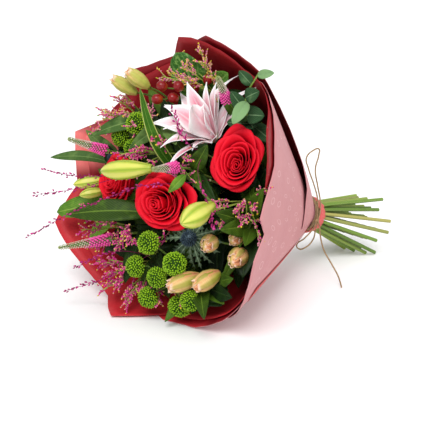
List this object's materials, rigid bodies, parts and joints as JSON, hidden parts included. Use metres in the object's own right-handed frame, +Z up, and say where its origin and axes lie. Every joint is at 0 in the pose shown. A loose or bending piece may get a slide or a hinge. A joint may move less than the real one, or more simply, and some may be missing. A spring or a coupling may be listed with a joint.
{
  "type": "mixed flower bouquet",
  "caption": "Hand-tied mixed bouquet of roses, lilies, button chrysanthemums and greenery, wrapped in two-tone florist paper and bound with natural twine, lying on a surface.",
  "frame": {"origin": "On the surface the bunch lies on, below the middle of its bounding box without the loose twine.", "axes": "+Z is up. +X runs from the blooms towards the cut stems, and -Y is the side of the knot."},
  "size_m": [0.5546, 0.3732, 0.3461],
  "materials": {
    "paper_pink": "matte coated florist paper, dusty pink outside and red inside",
    "paper_red": "matte coated florist paper, deep red",
    "twine": "twisted natural jute, matte",
    "rose_red": "soft velvety petals, matte",
    "lily_pink": "soft petals with a low sheen",
    "bud_green": "smooth waxy buds, satin",
    "lime": "dense small florets, matte",
    "thistle": "dry spiny bracts, matte",
    "peach": "soft petals, matte",
    "veronica": "small dense flowers, matte",
    "berry_red": "glossy berries",
    "leaf_green": "waxy leaves, satin",
    "leaf_grey": "powdery grey-green leaves, matte",
    "stem_green": "fresh stems, satin",
    "filler_pink": "fine twigs with small flowers, matte",
    "grass_magenta": "dyed dry grass, matte"
  },
  "bodies": {
    "root": {"wrap_outer_sheet": "paper_pink", "wrap_front_sheet": "paper_pink", "wrap_lining_sheet": "paper_red", "wrap_cuff": "paper_red", "twine_binding": "twine", "twine_knot": "twine", "twine_loop_upper": "twine", "twine_loop_lower": "twine", "twine_tail": "twine", "rose_right_bloom": "rose_red", "rose_centre_bloom": "rose_red", "rose_left_bloom": "rose_red", "hypericum_spray": "berry_red", "lily_bloom": "lily_pink", "lily_bud_upper": "bud_green", "lily_bud_right": "bud_green", "lily_bud_left": "bud_green", "lily_bud_small": "bud_green", "veronica_upper": "veronica", "veronica_lower": "veronica", "veronica_centre": "veronica", "veronica_right": "veronica", "eryngium_front": "thistle", "eryngium_left": "thistle", "chrysanthemum_front": "lime", "chrysanthemum_back": "lime", "alstroemeria_right": "peach", "alstroemeria_front": "peach", "alstroemeria_top": "peach", "rose_right_stem": "leaf_green", "rose_centre_stem": "leaf_green", "rose_left_stem": "leaf_green", "lily_stem_tall": "stem_green", "lily_stem_right": "stem_green", "lily_stem_left": "stem_green", "eucalyptus_sprig": "leaf_grey", "blade_upright": "leaf_green", "blade_upper": "leaf_green", "blade_left": "leaf_green", "leaf_left": "leaf_green", "leaf_broad_left": "leaf_green", "leaf_round_top": "leaf_green", "leaf_right": "leaf_green", "leaf_front": "leaf_green", "filler_top": "filler_pink", "filler_upper_left": "filler_pink", "filler_centre": "filler_pink", "filler_right": "filler_pink", "filler_left": "filler_pink", "filler_front": "filler_pink", "grass_long": "grass_magenta", "grass_left": "grass_magenta", "grass_low": "grass_magenta", "grass_lily": "grass_magenta"}
  },
  "joints": []
}
